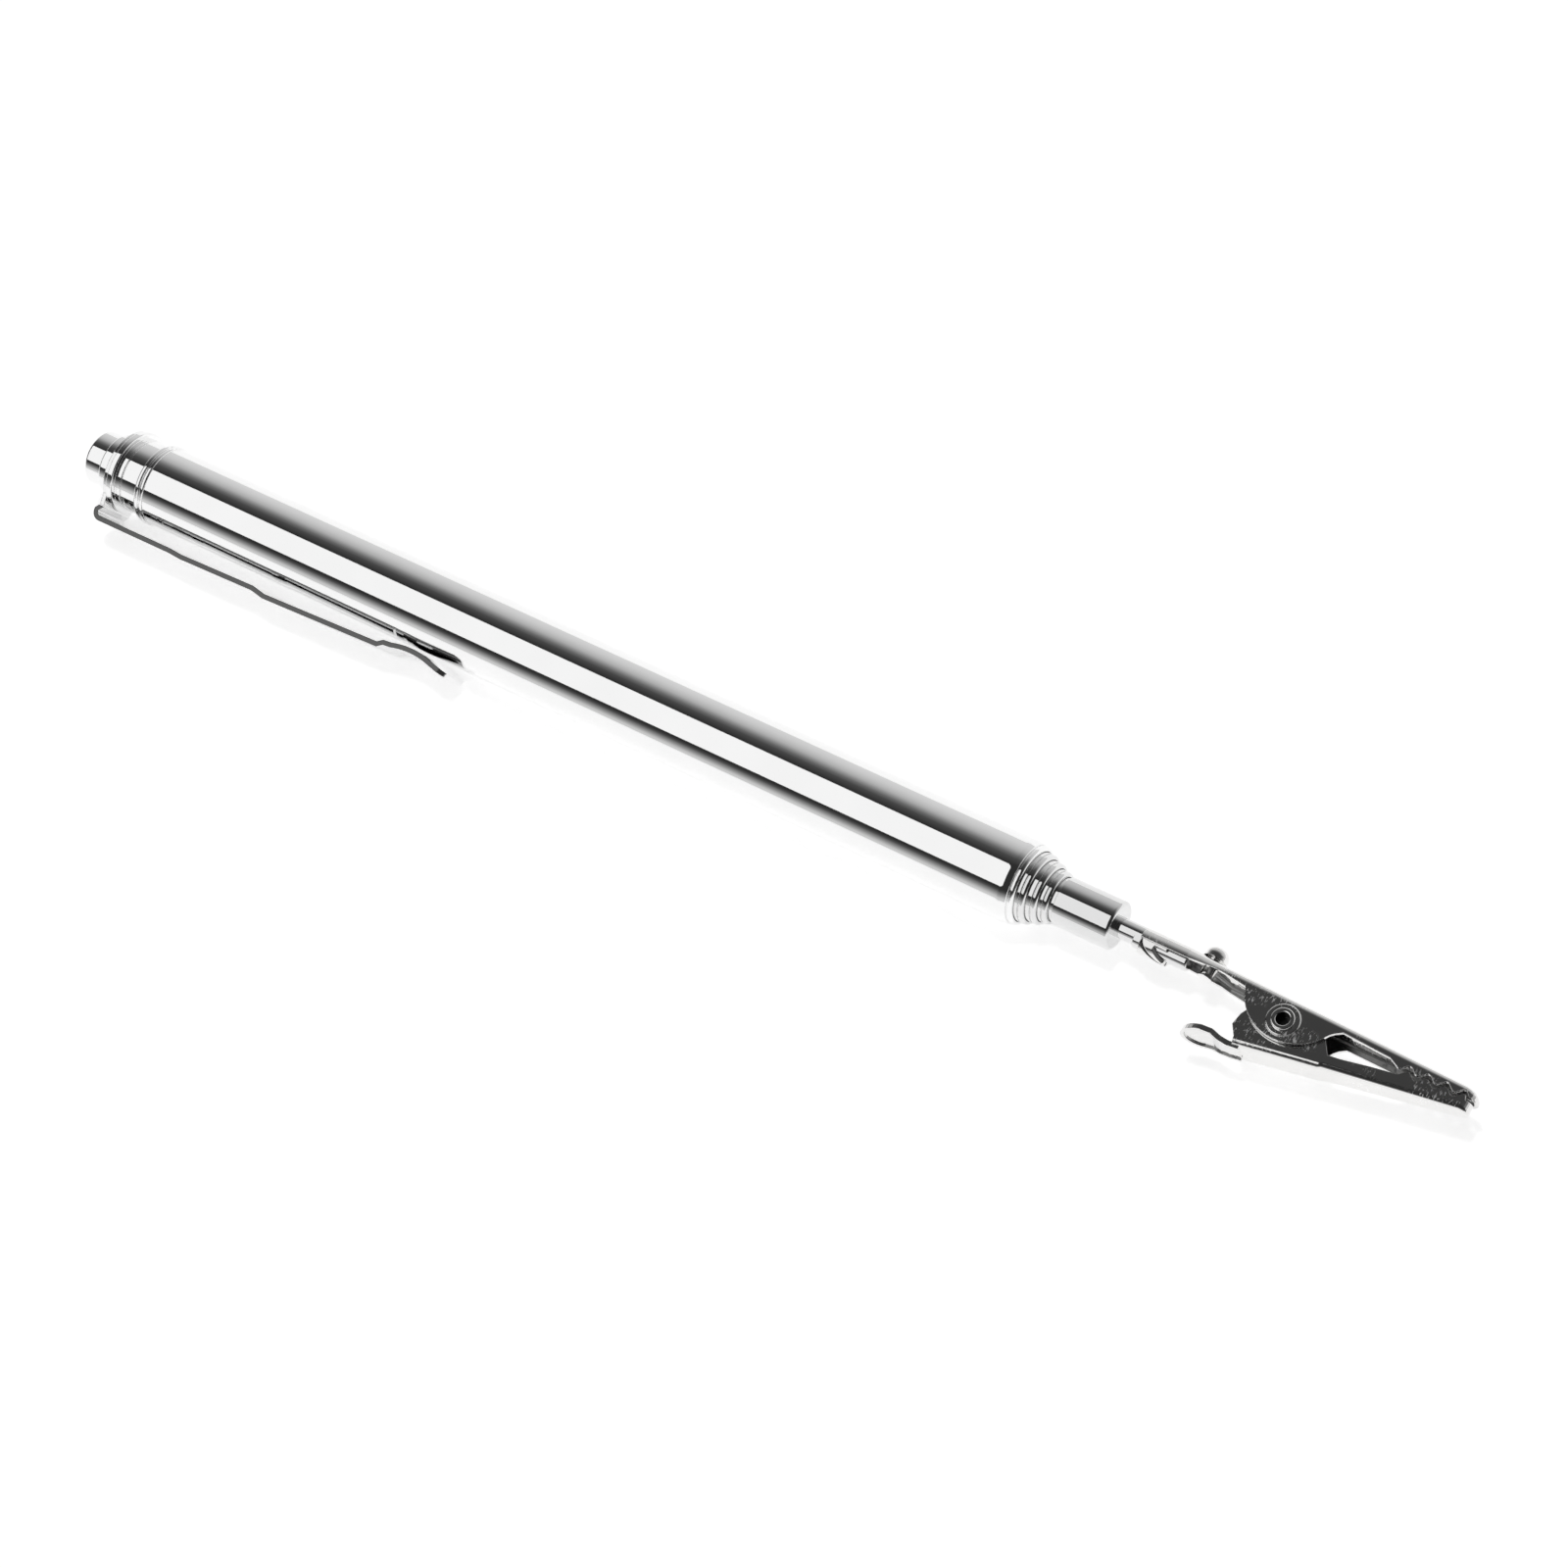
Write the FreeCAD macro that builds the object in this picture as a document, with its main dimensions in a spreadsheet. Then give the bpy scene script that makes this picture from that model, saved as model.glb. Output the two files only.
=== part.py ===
"""Pen-style telescopic pick-up tool with an alligator clip at its tip, closed and lying on its side.

The origin is the centre of the rear cap's end face. +X runs along the tube towards the jaws and +Z is up.
Lengths are in millimetres. A radius is measured from the X axis unless the name says otherwise.
"""
import FreeCAD, Part
import Sketcher
import math
import os

V = FreeCAD.Vector
X_AXIS = V(1, 0, 0)
Y_AXIS = V(0, 1, 0)
Z_AXIS = V(0, 0, 1)

SIZES = {
    # rear end: cap, spacer, pocket-clip collar and ferrule
    "cap_radius": 2.95,
    "cap_length": 2.3,
    "cap_rounding": 0.35,
    "cap_shank_radius": 1.5,
    "cap_shank_end": 9.6,
    "spacer_radius": 3.35,
    "collar_rear": 3.9,
    "collar_front": 4.4,
    "collar_radius": 4.3,
    "ferrule_flange_radius": 4.45,
    "ferrule_flange_front": 5.05,
    "ferrule_radius": 3.9,
    "ferrule_line_rear": 5.75,
    "ferrule_line_front": 5.9,
    "ferrule_line_radius": 3.8,
    "bead_rear": 7.95,
    "bead_middle": 8.45,
    "bead_front": 9.05,
    "bead_radius": 4.32,
    "bead_groove_radius": 4.12,
    "bead_groove_width": 0.12,
    "ferrule_plug_end": 10.8,
    # nested tubes
    "tube_radius": 4.2,
    "tube_bore": 3.8,
    "tube_shoulder": 112.3,
    "tube_shoulder_end": 113.05,
    "tube_shoulder_radius": 4.05,
    "tube_lip_front": 113.65,
    "tube_lip_radius": 3.95,
    "lip_length": 0.45,
    "lip_wall": 0.25,
    "lip_groove_depth": 0.12,
    "lip_groove_width": 0.15,
    "lip_rounding": 0.18,
    "mouth_rounding": 0.3,
    "shoulder_rounding": 1.5,
    "shoulder_edge_rounding": 0.12,
    "lip_gap": 0.06,
    "stage_rear": 11.0,
    "stage_wall": 0.2,
    "stage_1_radius": 3.5,
    "stage_1_front": 114.6,
    "stage_2_radius": 3.07,
    "stage_2_front": 115.65,
    "stage_3_radius": 2.64,
    "stage_3_front": 116.6,
    "stage_4_radius": 2.2,
    "stage_4_front": 121.6,
    "sleeve_rear": 11.8,
    "sleeve_front": 18.8,
    "sleeve_groove_depth": 0.05,
    "sleeve_gap": 0.03,
    "sleeve_angle": 346,
    # tip barrel and stem
    "barrel_rear": 117.0,
    "barrel_front": 122.9,
    "barrel_radius": 2.4,
    "barrel_rounding": 0.35,
    "stem_radius": 1.0,
    "stem_end": 125.6,
    "pin_radius": 0.9,
    "pin_drop": 0.32,
    "pin_rear": 124.9,
    "pin_end": 130.5,
    "pin_rounding": 0.2,
    # pocket clip
    "clip_roll": 20.0,
    "clip_thickness": 0.5,
    "clip_half_width": 2.5,
    "clip_root_half_width": 3.2,
    "clip_root_height": 2.0,
    "clip_split": 4.5,
    "clip_split_gap": 0.06,
    "clip_root_lean": 0.25,
    "clip_bend_radius": 0.8,
    "clip_bend_offset": 0.38,
    "clip_height": 5.85,
    "clip_end_middle": 44.6,
    "clip_end_radius": 9.0,
    "clip_end_height": 4.6,
    "clip_tip": 49.2,
    "clip_tip_height": 5.45,
    "clip_nose_rounding": 1.3,
    # alligator clip: upper jaw
    "sheet": 0.35,
    "jaw_start": 125.7,
    "crimp_front": 128.4,
    "jaw_tip": 160.1,
    "body_half_width": 2.2,
    "nose_length": 1.6,
    "nose_drop": 0.75,
    "crimp_radius": 1.25,
    "crimp_slit": 0.22,
    "crimp_slant": 32,
    "crimp_slit_offset": 0.35,
    "crimp_corner_slant": 38,
    "crimp_corner_length": 1.5,
    "crimp_corner_height": 2.4,
    "crimp_corner_offset": 1.5,
    "crimp_seam_height": 0.67,
    "pivot_x": 141.55,
    "pivot_y": -2.35,
    "lobe_radius": 4.85,
    "lobe_rise": 2.85,
    "upper_open_side": -4.5,
    "lower_open_side": -0.4,
    "tooth_pitch": 1.75,
    "tooth_height": 0.6,
    "tooth_start": 152.65,
    "tooth_middle": 154.0,
    "tooth_end": 158.9,
    "upper_teeth_height": -1.36,
    "upper_teeth_slope": 0.055,
    "boss_radius": 1.6,
    "boss_height": 0.16,
    "boss_rounding": 0.13,
    # alligator clip: lower jaw
    "jaw_gap": 0.06,
    "lower_jaw_start": 137.2,
    "lower_jaw_tip": 159.75,
    "lower_nose_length": 0.9,
    "lower_nose_drop": 0.15,
    "lower_teeth_height": -1.74,
    "lower_teeth_slope": 0.075,
    "pad_middle": 135.25,
    "pad_radius": 2.05,
    "pad_rim_width": 0.34,
    "pad_rim_height": 0.16,
    # alligator clip: rivet, spring and screw
    "rivet_radius": 0.95,
    "rivet_bore": 0.64,
    "rivet_rim_radius": 1.1,
    "rivet_seat": 2.36,
    "rivet_reach": 2.62,
    "rivet_floor": 1.5,
    "rivet_rounding": 0.12,
    "pivot_clearance": 0.04,
    "spring_radius": 1.28,
    "spring_wire": 0.15,
    "spring_overlap": 0.01,
    "spring_turns": 6,
    "spring_seam": 45,
    "spring_leg_angle": 120,
    "screw_x": 132.45,
    "screw_head_radius": 1.2,
    "screw_head_base": 0.82,
    "screw_head_height": 1.25,
    "screw_head_rounding": 0.85,
    "screw_shank_radius": 0.72,
    "screw_end": -1.1,
    "screw_slot": 0.3,
    "screw_slot_depth": 0.3,
}

# Corners along the strap: position along X and distance from the axis.
STRAP_JOGS = [(14.0, 5.78), (15.5, 5.88), (24.8, 5.64), (26.4, 5.92), (40.7, 5.42), (41.3, 5.0)]
# Upper jaw's outside: position along X, half width, corner radius at the back, height of the back.
UPPER_STATIONS = [
    (125.7, 1.48, 1.4, 0.97),
    (130.4, 1.48, 1.3, 0.93),
    (134.6, 2.2, 0.75, 0.2),
    (143.5, 2.2, 0.65, -0.06),
    (158.5, 1.5, 0.55, -0.28),
]
# Lower jaw's outside: position along X, corner radius, height of the back, with a small step at its window.
LOWER_STATIONS = [
    (137.2, 0.5, -6.39),
    (146.2, 0.5, -4.84),
    (146.5, 0.5, -4.67),
    (158.85, 0.4, -2.54),
]
# Open edges of the jaws in side view, from the tail to the nose.
TAIL_EDGE = [(133.6, -0.5), (136.9, -0.95), (137.1, -1.35)]
LOBE_SWEEP = (207, 332)
UPPER_WINDOW = [(146.2, -1.4), (146.8, -1.0), (151.6, -1.2)]
UPPER_NOSE = [(159.3, -1.22), (159.9, -1.15), (160.3, -1.05)]
LOWER_EAR = [
    (138.6, -7.5), (138.2, -5.5), (137.5, -4.5), (137.7, -3.3), (138.2, -2.3), (139.2, -1.45),
    (140.4, -1.0), (142.9, -1.0), (144.6, -1.5), (145.7, -2.2), (146.5, -3.35), (147.6, -3.2),
    (150.3, -2.6),
]
LOWER_NOSE = [(159.1, -1.55), (160.0, -1.42)]
# The thumb pad's line in side view, and the half widths of the neck that joins it to the jaw.
PAD_LINE = [(139.4, -5.95), (137.9, -6.15), (137.0, -6.12), (136.2, -5.95), (135.2, -6.05), (133.1, -6.55)]
PAD_NECK = [(139.0, 1.4), (138.0, 1.45), (137.2, 1.62), (136.4, 1.95)]
SPRING_UPPER_END = (135.8, -0.45)
SPRING_LOWER_END = (138.9, -5.35)

LAST_STAGE = 4
NOSE_STEPS = 6
NOSE_SWEEP = 80.0
POINTS_PER_TOOTH = 8
BEYOND = 8.0
TOUCHING = 1e-6

doc = FreeCAD.newDocument("pickup_tool")
sheet = doc.addObject("Spreadsheet::Sheet", "Sizes")
for row, (alias, number) in enumerate(SIZES.items(), start=1):
    sheet.set(f"A{row}", alias)
    sheet.set(f"B{row}", str(number))
    sheet.setAlias(f"B{row}", alias)
doc.recompute()

parts = []


def size(alias):
    """The number in the sheet's cell of that name."""
    return float(sheet.get(alias))


def amount(words):
    """Adds up a line such as 'bead_rear + bead_groove_width' with the sheet's numbers."""
    total, sign = 0.0, 1.0
    for word in words.split():
        if word in ("+", "-"):
            sign = 1.0 if word == "+" else -1.0
        else:
            total += sign * (size(word) if word in SIZES else float(word))
            sign = 1.0
    return total


def formula(words):
    """The same line as an expression that FreeCAD keeps bound to the sheet."""
    return " ".join("Sizes." + word if word in SIZES else word for word in words.split())


def keep(thing, name):
    """Registers a sub-part under the name of its node."""
    thing.Label = name
    parts.append(thing)
    return thing


def origin_feature(body, role):
    return next(f for f in body.Origin.OriginFeatures if f.Role == role)


def outline_sketch(body, points):
    """A closed outline in the body's XY plane, each corner bound to the sheet."""
    sketch = body.newObject("Sketcher::SketchObject", body.Name + "_outline")
    sketch.AttachmentSupport = [(origin_feature(body, "XY_Plane"), "")]
    sketch.MapMode = "FlatFace"
    corners = [V(amount(u), amount(v), 0) for u, v in points]
    for here, there in zip(corners, corners[1:] + corners[:1]):
        sketch.addGeometry(Part.LineSegment(here, there))
    for index in range(len(points)):
        after = (index + 1) % len(points)
        sketch.addConstraint(Sketcher.Constraint("Coincident", index, 2, after, 1))
    for index, pair in enumerate(points):
        for kind, words in zip(("DistanceX", "DistanceY"), pair):
            bound = sketch.addConstraint(Sketcher.Constraint(kind, index, 1, amount(words)))
            sketch.setExpression(f"Constraints[{bound}]", formula(words))
    doc.recompute()
    return sketch


def turned(name, points, sweep="360", kept=True):
    """A body turned about the X axis; each point is (position along X, radius)."""
    body = doc.addObject("PartDesign::Body", name)
    sketch = outline_sketch(body, points)
    turning = body.newObject("PartDesign::Revolution", name + "_turning")
    turning.Profile = sketch
    turning.ReferenceAxis = (sketch, ["H_Axis"])
    turning.Angle = amount(sweep)
    turning.setExpression("Angle", formula(sweep))
    doc.recompute()
    return keep(body, name) if kept else body


def circle_edges(shape, along, radius):
    """Names of the round edges that stand at one place along X with one radius."""
    names = []
    for number, edge in enumerate(shape.Edges, start=1):
        curve = edge.Curve
        if curve.TypeId != "Part::GeomCircle":
            continue
        if abs(curve.Radius - radius) < 1e-5 and abs(curve.Center.x - along) < 1e-5:
            names.append(f"Edge{number}")
    return names


def rounded(body, corners, rounding):
    """Rounds the turned corners given as (position along X, radius)."""
    base = body.Tip
    names = []
    for along, radius in corners:
        names += circle_edges(base.Shape, amount(along), amount(radius))
    if len(names) != len(corners):
        raise ValueError(f"{body.Label}: {len(names)} edges found for {len(corners)} corners")
    fillet = body.newObject("PartDesign::Fillet", body.Name + "_rounding")
    fillet.Base = (base, names)
    fillet.Radius = amount(rounding)
    fillet.setExpression("Radius", formula(rounding))
    doc.recompute()


def feature(name, shape, placement=None):
    """A sub-part whose shape is worked out from the sheet's numbers."""
    thing = doc.addObject("Part::Feature", name)
    thing.Shape = shape
    if placement:
        thing.Placement = placement
    return keep(thing, name)


def face_of(points):
    wire = Part.makePolygon([V(*point) for point in points] + [V(*points[0])])
    return Part.Face(wire)


def side_prism(points, half_width):
    """The XY outline as a slab from -half_width to +half_width."""
    outline = face_of([(x, y, -half_width) for x, y in points])
    return outline.extrude(V(0, 0, 2 * half_width))


def plan_prism(points, low, high):
    """The XZ outline as a slab from y = low to y = high."""
    outline = face_of([(x, low, z) for x, z in points])
    return outline.extrude(V(0, high - low, 0))


def band(path, thickness):
    """The outline of a bent strip with that centre line, both offsets mitred at the bends."""
    upper, lower = [], []
    for index, (x, y) in enumerate(path):
        before = path[max(index - 1, 0)]
        after = path[min(index + 1, len(path) - 1)]
        turns = []
        for start, end in ((before, (x, y)), ((x, y), after)):
            run = math.hypot(end[0] - start[0], end[1] - start[1])
            if run > 0:
                turns.append(((start[1] - end[1]) / run, (end[0] - start[0]) / run))
        normal_x = sum(turn[0] for turn in turns) / len(turns)
        normal_y = sum(turn[1] for turn in turns) / len(turns)
        reach = thickness / 2 / (normal_x**2 + normal_y**2)
        upper.append((x + normal_x * reach, y + normal_y * reach))
        lower.append((x - normal_x * reach, y - normal_y * reach))
    return upper + lower[::-1]


def arc_points(x, y, radius, start, end, steps):
    """Points on a round stretch; the angles are in degrees from +X."""
    turn = [math.radians(start + (end - start) * step / steps) for step in range(steps + 1)]
    return [(x + radius * math.cos(angle), y + radius * math.sin(angle)) for angle in turn]


def rod(start, end, radius):
    along = V(*end) - V(*start)
    return Part.makeCylinder(radius, along.Length, V(*start), along)


# Rear end ----------------------------------------------------------------------------------------


def make_rear_end():
    cap = turned("rear_cap", [
        ("0", "0"), ("0", "cap_radius"), ("cap_length", "cap_radius"),
        ("cap_length", "cap_shank_radius"), ("cap_shank_end", "cap_shank_radius"), ("cap_shank_end", "0"),
    ])
    rounded(cap, [("0", "cap_radius")], "cap_rounding")
    spacer = turned("rear_spacer", [
        ("cap_length", "cap_shank_radius"), ("cap_length", "spacer_radius"),
        ("collar_rear", "spacer_radius"), ("collar_rear", "cap_shank_radius"),
    ])
    rounded(spacer, [("cap_length", "spacer_radius")], "lip_rounding")
    ferrule = turned("rear_ferrule", [
        ("collar_front", "cap_shank_radius"), ("collar_front", "ferrule_flange_radius"),
        ("ferrule_flange_front", "ferrule_flange_radius"), ("ferrule_flange_front", "ferrule_radius"),
        ("ferrule_line_rear", "ferrule_radius"), ("ferrule_line_rear", "ferrule_line_radius"),
        ("ferrule_line_front", "ferrule_line_radius"), ("ferrule_line_front", "ferrule_radius"),
        ("bead_rear", "ferrule_radius"), ("bead_rear", "bead_radius"),
        ("bead_middle", "bead_radius"), ("bead_middle", "bead_groove_radius"),
        ("bead_middle + bead_groove_width", "bead_groove_radius"),
        ("bead_middle + bead_groove_width", "bead_radius"),
        ("bead_front", "bead_radius"), ("bead_front", "tube_bore"),
        ("ferrule_plug_end", "tube_bore"), ("ferrule_plug_end", "cap_shank_radius"),
    ])
    rounded(ferrule, [
        ("ferrule_flange_front", "ferrule_flange_radius"),
        ("bead_rear", "bead_radius"), ("bead_middle", "bead_radius"),
        ("bead_middle + bead_groove_width", "bead_radius"), ("bead_front", "bead_radius"),
    ], "lip_rounding")


# Nested tubes ------------------------------------------------------------------------------------


def make_outer_tube():
    tube = turned("outer_tube", [
        ("bead_front", "tube_bore"), ("bead_front", "tube_radius"),
        ("tube_shoulder", "tube_radius"), ("tube_shoulder_end", "tube_shoulder_radius"),
        ("tube_shoulder_end", "tube_lip_radius - lip_groove_depth"),
        ("tube_lip_front - lip_length", "tube_lip_radius - lip_groove_depth"),
        ("tube_lip_front - lip_length", "tube_lip_radius"),
        ("tube_lip_front", "tube_lip_radius"),
        ("tube_lip_front", "stage_1_radius + lip_gap"),
        ("tube_shoulder", "stage_1_radius + lip_gap"),
        ("tube_shoulder", "tube_bore"),
    ])
    rounded(tube, [("tube_lip_front", "tube_lip_radius")], "mouth_rounding")
    rounded(tube, [("tube_shoulder", "tube_radius")], "shoulder_rounding")
    rounded(tube, [("tube_shoulder_end", "tube_shoulder_radius")], "shoulder_edge_rounding")


def make_stage_tube(number):
    """A sliding tube: a groove for its friction sleeve at the rear, a rolled lip at the front."""
    own = f"stage_{number}_radius"
    front = f"stage_{number}_front"
    inner = f"stage_{number + 1}_radius + lip_gap"
    tube = turned(f"stage_tube_{number}", [
        ("stage_rear", f"{own} - stage_wall"), ("stage_rear", own),
        ("sleeve_rear", own), ("sleeve_rear", f"{own} - sleeve_groove_depth"),
        ("sleeve_front", f"{own} - sleeve_groove_depth"), ("sleeve_front", own),
        (f"{front} - lip_length - lip_groove_width", own),
        (f"{front} - lip_length - lip_groove_width", f"{own} - lip_groove_depth"),
        (f"{front} - lip_length", f"{own} - lip_groove_depth"),
        (f"{front} - lip_length", own),
        (front, own),
        (front, inner),
        (f"{front} - lip_length - lip_length - lip_length", inner),
        (f"{front} - lip_length - lip_length - lip_length", f"{own} - stage_wall"),
    ])
    rounded(tube, [(front, own)], "mouth_rounding")


def make_last_tube():
    own = "stage_4_radius"
    turned("stage_tube_4", [
        ("stage_rear", f"{own} - stage_wall"), ("stage_rear", own),
        ("sleeve_rear", own), ("sleeve_rear", f"{own} - sleeve_groove_depth"),
        ("sleeve_front", f"{own} - sleeve_groove_depth"), ("sleeve_front", own),
        ("stage_4_front", own), ("stage_4_front", f"{own} - stage_wall"),
    ])


def make_sleeve(number):
    """A split ring in the stage's rear groove, running in the bore of the tube around it."""
    outer = f"stage_{number - 1}_radius - stage_wall - sleeve_gap" if number > 1 else "tube_bore - sleeve_gap"
    inner = f"stage_{number}_radius - sleeve_groove_depth"
    rear, front = "sleeve_rear", "sleeve_front"
    if number == LAST_STAGE:
        inner += " + sleeve_gap"
        rear += " + sleeve_gap"
        front += " - sleeve_gap"
    turned(f"friction_sleeve_{number}", [
        (rear, inner), (rear, outer), (front, outer), (front, inner),
    ], "sleeve_angle")


def make_tip_fittings():
    barrel = turned("tip_barrel", [
        ("barrel_rear", "stage_4_radius"), ("barrel_rear", "barrel_radius"),
        ("barrel_front", "barrel_radius"), ("barrel_front", "stem_radius"),
        ("stage_4_front", "stem_radius"), ("stage_4_front", "stage_4_radius"),
    ])
    rounded(barrel, [("barrel_front", "barrel_radius")], "barrel_rounding")
    stem = turned("tip_stem_rod", [
        ("stage_4_front", "0"), ("stage_4_front", "stem_radius"),
        ("stem_end", "stem_radius"), ("stem_end", "0"),
    ], kept=False)
    pin = turned("tip_stem_pin", [
        ("pin_rear", "0"), ("pin_rear", "pin_radius"), ("pin_end", "pin_radius"), ("pin_end", "0"),
    ], kept=False)
    rounded(pin, [("pin_end", "pin_radius")], "pin_rounding")
    pin.Placement.Base = V(0, -size("pin_drop"), 0)
    joined = doc.addObject("Part::Fuse", "tip_stem")
    joined.Base = stem
    joined.Tool = pin
    keep(joined, "tip_stem")


# Pocket clip -------------------------------------------------------------------------------------


def make_pocket_clip():
    """A collar clamped behind the ferrule and a sprung strap along the tube, on the -Y side.

    The strap is drawn straight down along -Y, then rolled about the tube with the collar.
    """
    roll = FreeCAD.Placement(V(0, 0, 0), FreeCAD.Rotation(X_AXIS, size("clip_roll")))
    rear, front = size("collar_rear"), size("collar_front")
    middle = (rear + front) / 2
    split = size("clip_split")
    root, wide = size("clip_root_half_width"), size("clip_half_width")
    root_y = -size("clip_root_height")
    collar = Part.makeCylinder(size("collar_radius"), front - rear, V(rear, 0, 0), X_AXIS)
    tab = face_of([(rear, root_y, root), (rear, -split, wide), (rear, -split, -wide), (rear, root_y, -root)])
    tab = tab.extrude(V(front - rear, 0, 0))
    hole = Part.makeCylinder(size("cap_shank_radius"), front - rear, V(rear, 0, 0), X_AXIS)
    feature("pocket_clip_collar", collar.fuse(tab).removeSplitter().cut(hole), roll)

    bend = size("clip_bend_radius")
    bend_x = middle + size("clip_bend_offset")
    bend_y = bend - size("clip_height")
    lean = size("clip_root_lean")
    path = [(middle + lean, lean - split), (bend_x - bend, bend_y)]
    path += arc_points(bend_x, bend_y, bend, 180, 270, 8)[1:]
    path += [(x, -height) for x, height in STRAP_JOGS]
    end_radius = size("clip_end_radius")
    end_y = -size("clip_end_height") - end_radius
    path += arc_points(size("clip_end_middle"), end_y, end_radius, 105, 75, 10)
    path += [(size("clip_tip"), -size("clip_tip_height"))]
    strap = side_prism(band(path, size("clip_thickness")), wide)
    above_split = V(0, -split - size("clip_split_gap"), -BEYOND)
    strap = strap.cut(Part.makeBox(BEYOND, BEYOND, 2 * BEYOND, above_split))
    tip_edges = [
        edge for edge in strap.Edges
        if edge.BoundBox.XMin > size("clip_tip") - size("clip_thickness")
        and edge.BoundBox.ZLength < TOUCHING and edge.BoundBox.YLength > size("clip_thickness") / 2
    ]
    strap = strap.makeFillet(size("clip_nose_rounding"), tip_edges)
    feature("pocket_clip_strap", strap, roll)


# Alligator clip ----------------------------------------------------------------------------------


def upper_teeth_line(x):
    return size("upper_teeth_height") + size("upper_teeth_slope") * (x - size("tooth_middle"))


def lower_teeth_line(x):
    return size("lower_teeth_height") + size("lower_teeth_slope") * (x - size("tooth_middle"))


def station_at(stations, x):
    """The stations' values at x, in straight lines between them and level beyond the ends."""
    if x <= stations[0][0]:
        return stations[0][1:]
    for (x0, *before), (x1, *after) in zip(stations, stations[1:]):
        if x <= x1:
            share = (x - x0) / (x1 - x0)
            return tuple(a + (b - a) * share for a, b in zip(before, after))
    return stations[-1][1:]


def lower_stations():
    """The lower jaw's stations with its half width, which fits inside the upper jaw."""
    narrower = size("sheet") + size("jaw_gap")
    return [
        (x, station_at(UPPER_STATIONS, x)[0] - narrower, corner, back)
        for x, corner, back in LOWER_STATIONS
    ]


def channel_section(x, half_width, corner, back, depth):
    """A U with rounded corners at its back; depth is where its open side ends."""
    side = 1 if back > depth else -1
    foot = back - side * corner
    inner = half_width - corner
    slack = corner * (1 - math.sqrt(0.5))
    bend = V(x, back - side * slack, half_width - slack)
    far_bend = V(x, back - side * slack, slack - half_width)
    pieces = [
        Part.Arc(V(x, foot, half_width), bend, V(x, back, inner)).toShape(),
        Part.makeLine(V(x, back, inner), V(x, back, -inner)),
        Part.Arc(V(x, back, -inner), far_bend, V(x, foot, -half_width)).toShape(),
    ]
    ends = [
        V(x, foot, -half_width), V(x, depth, -half_width),
        V(x, depth, half_width), V(x, foot, half_width),
    ]
    return Part.Wire(pieces + [Part.makeLine(a, b) for a, b in zip(ends, ends[1:])])


def jaw_block(stations, inset, rear, tip, depth, nose, nose_drop):
    """A tapered block with a rounded back and nose.

    inset shrinks it on every side, which gives the block that hollows the jaw out.
    """
    side = 1 if stations[0][-1] > depth else -1
    base = tip - nose
    sections = []
    for x in [rear] + [station[0] for station in stations if rear < station[0] < base - nose]:
        half, corner, back = station_at(stations, x)
        sections.append(channel_section(x, half - inset, corner - inset, back - side * inset, depth))
    for step in range(NOSE_STEPS + 1):
        angle = math.radians(NOSE_SWEEP * step / NOSE_STEPS)
        shrink = math.cos(angle)
        half, corner, back = station_at(stations, base)
        x = base + (nose - inset) * math.sin(angle)
        back -= side * (inset + nose_drop * (1 - shrink))
        sections.append(channel_section(x, (half - inset) * shrink, (corner - inset) * shrink, back, depth))
    return Part.makeLoft(sections, True, True)


def teeth(start, end, line):
    """Rounded teeth: a wave about a sloping line, from start to end along X."""
    pitch, height = size("tooth_pitch"), size("tooth_height")
    steps = round((end - start) / pitch * POINTS_PER_TOOTH)
    points = []
    for step in range(steps + 1):
        x = start + (end - start) * step / steps
        wave = math.cos(2 * math.pi * (x - start) / pitch)
        points.append((x, line(x) - height / 2 * wave))
    return points


def crimp():
    """The tail's end, wrapped round the stem with two pointed tabs that meet along a slant."""
    start, end = size("jaw_start"), size("crimp_front")
    centre = V(start, -size("pin_drop"), 0)
    wrap = Part.makeCylinder(size("crimp_radius"), end - start, centre, X_AXIS)
    wrap = wrap.cut(Part.makeCylinder(size("pin_radius"), end - start, centre, X_AXIS))
    slit_width, reach = size("crimp_slit"), 2 * size("crimp_radius")
    slit = Part.makeBox(2 * reach, reach, slit_width, V(-reach, -reach, -slit_width / 2))
    slant = FreeCAD.Rotation(Y_AXIS, size("crimp_slant"))
    slit_middle = V((start + end) / 2, -size("pin_drop"), size("crimp_slit_offset"))
    slit.Placement = FreeCAD.Placement(slit_middle, slant)
    wrap = wrap.cut(slit)
    corner_turn = FreeCAD.Rotation(Y_AXIS, size("crimp_corner_slant"))
    long, tall = size("crimp_corner_length"), size("crimp_corner_height")
    for x, z in ((start, -size("crimp_corner_offset")), (end, size("crimp_corner_offset"))):
        corner = Part.makeBox(long, reach, tall, V(-long / 2, -reach, -tall / 2))
        corner.Placement = FreeCAD.Placement(V(x, -size("crimp_seam_height"), z), corner_turn)
        wrap = wrap.cut(corner)
    return wrap


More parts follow.
